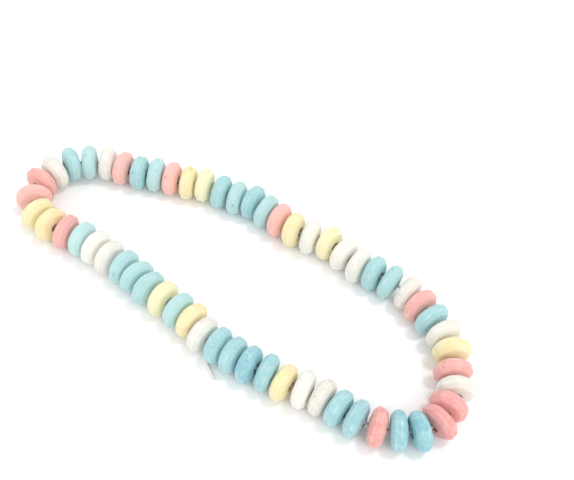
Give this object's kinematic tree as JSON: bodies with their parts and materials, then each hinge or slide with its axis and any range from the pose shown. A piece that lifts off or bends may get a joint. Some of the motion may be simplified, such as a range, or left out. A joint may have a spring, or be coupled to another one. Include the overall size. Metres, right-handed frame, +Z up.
{
  "type": "candy necklace",
  "caption": "Loose oval loop of round pastel pressed-sugar beads threaded on a white elastic with a knotted loose end; worn round the neck or wrist and nibbled off.",
  "frame": {"origin": "bottom centre of the box round the whole necklace as it lies, on the surface under it", "axes": "+X along the long axis of the oval loop, +Y across it, +Z up from the surface it lies on"},
  "size_m": [0.1458, 0.0612, 0.0104],
  "materials": {
    "blue_candy": "pressed sugar, pale aqua blue, chalky with a faint satin shine",
    "pink_candy": "pressed sugar, salmon pink, chalky with a faint satin shine",
    "yellow_candy": "pressed sugar, pale lemon yellow, chalky with a faint satin shine",
    "white_candy": "pressed sugar, warm white, chalky with a faint satin shine",
    "white_elastic": "white covered elastic thread, matt"
  },
  "bodies": {
    "root": {"bead_01": "blue_candy", "bead_02": "blue_candy", "bead_03": "white_candy", "bead_04": "pink_candy", "bead_05": "blue_candy", "bead_06": "blue_candy", "bead_07": "pink_candy", "bead_08": "yellow_candy", "bead_09": "yellow_candy", "bead_10": "blue_candy", "bead_11": "blue_candy", "bead_12": "blue_candy", "bead_13": "blue_candy", "bead_14": "pink_candy", "bead_15": "yellow_candy", "bead_16": "white_candy", "bead_17": "yellow_candy", "bead_18": "white_candy", "bead_19": "white_candy", "bead_20": "blue_candy", "bead_21": "blue_candy", "bead_22": "white_candy", "bead_23": "pink_candy", "bead_24": "blue_candy", "bead_25": "white_candy", "bead_26": "yellow_candy", "bead_27": "pink_candy", "bead_28": "white_candy", "bead_29": "pink_candy", "bead_30": "pink_candy", "bead_31": "blue_candy", "bead_32": "blue_candy", "bead_33": "pink_candy", "bead_34": "blue_candy", "bead_35": "blue_candy", "bead_36": "white_candy", "bead_37": "white_candy", "bead_38": "yellow_candy", "bead_39": "blue_candy", "bead_40": "blue_candy", "bead_41": "blue_candy", "bead_42": "blue_candy", "bead_43": "white_candy", "bead_44": "yellow_candy", "bead_45": "blue_candy", "bead_46": "yellow_candy", "bead_47": "blue_candy", "bead_48": "blue_candy", "bead_49": "blue_candy", "bead_50": "white_candy", "bead_51": "white_candy", "bead_52": "blue_candy", "bead_53": "pink_candy", "bead_54": "yellow_candy", "bead_55": "yellow_candy", "bead_56": "pink_candy", "bead_57": "pink_candy", "bead_58": "white_candy", "thread": "white_elastic"}
  },
  "joints": []
}
